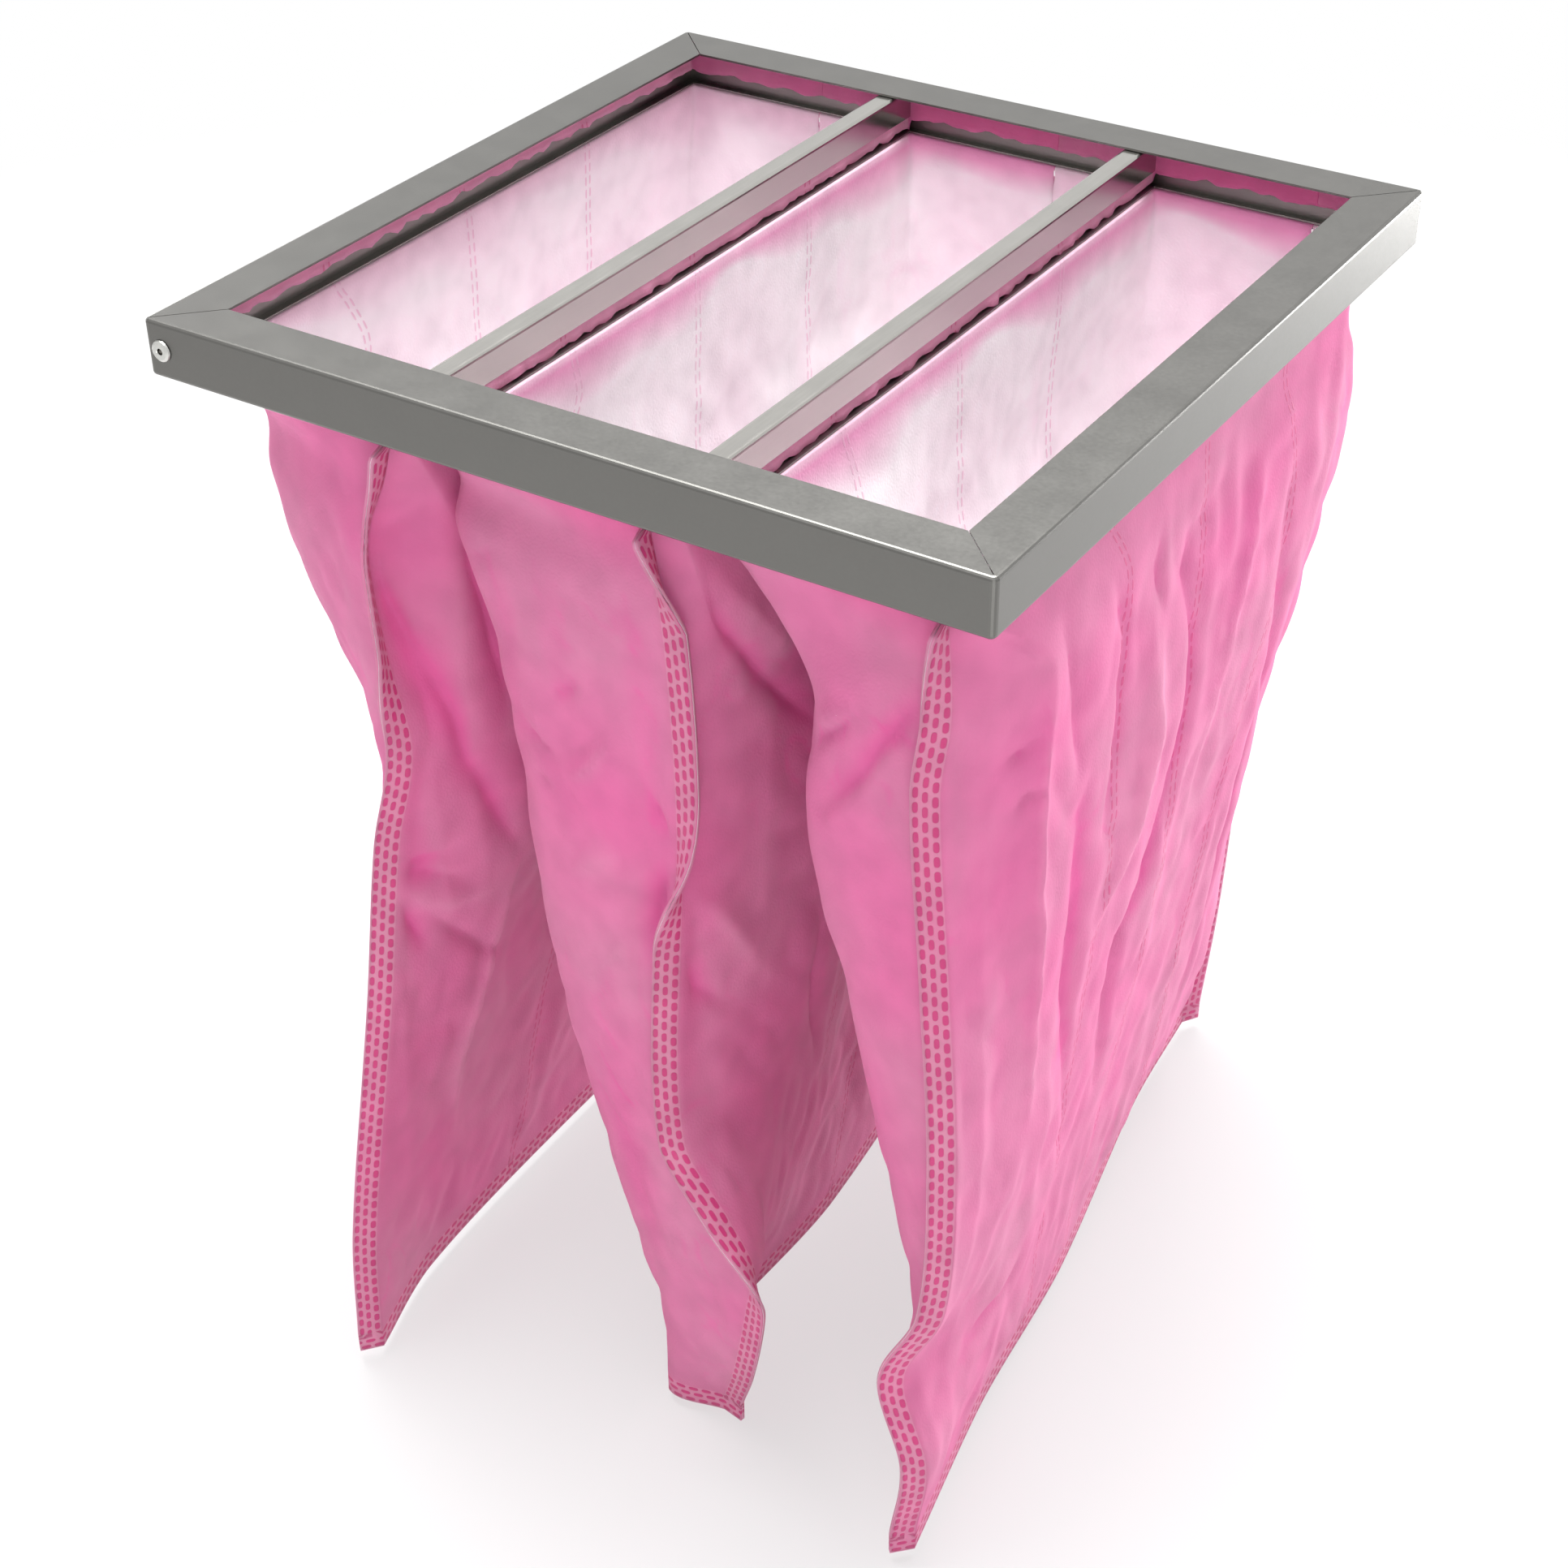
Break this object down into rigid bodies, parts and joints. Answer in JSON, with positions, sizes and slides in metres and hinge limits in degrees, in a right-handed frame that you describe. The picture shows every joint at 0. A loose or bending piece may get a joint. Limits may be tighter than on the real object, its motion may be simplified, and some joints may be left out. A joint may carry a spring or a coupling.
{
  "type": "bag air filter",
  "caption": "Square steel header frame with limp pocket bags of pink filter fabric hanging from it, side by side.",
  "frame": {"origin": "centre of the header on its rear plane, where the holding frame's seat meets it", "axes": "+Z out of the front flange against the air flow, the pockets hang towards -Z; X across the pockets; Y along their mouths; the riveted corner is at -X -Y"},
  "size_m": [0.39, 0.4619, 0.523],
  "materials": {
    "galvanised_header": "satin galvanised",
    "divider_steel": "bright rolled",
    "frame_steel": "bright rolled",
    "rivet_body": "satin",
    "rivet_stem": "dark",
    "pink_medium": "soft nonwoven",
    "span_fabric": "soft nonwoven"
  },
  "bodies": {
    "root": {"header_frame": "galvanised_header", "corner_rivet": "rivet_body", "rivet_mandrel": "rivet_stem", "divider_bar_1": "divider_steel", "divider_bar_2": "divider_steel", "pocket_frame_1": "frame_steel", "pocket_1_left_panel": "pink_medium", "pocket_1_right_panel": "pink_medium", "pocket_1_span_strip_1": "span_fabric", "pocket_1_span_strip_2": "span_fabric", "pocket_1_span_strip_3": "span_fabric", "pocket_frame_2": "frame_steel", "pocket_2_left_panel": "pink_medium", "pocket_2_right_panel": "pink_medium", "pocket_2_span_strip_1": "span_fabric", "pocket_2_span_strip_2": "span_fabric", "pocket_2_span_strip_3": "span_fabric", "pocket_frame_3": "frame_steel", "pocket_3_left_panel": "pink_medium", "pocket_3_right_panel": "pink_medium", "pocket_3_span_strip_1": "span_fabric", "pocket_3_span_strip_2": "span_fabric", "pocket_3_span_strip_3": "span_fabric"}
  },
  "joints": []
}
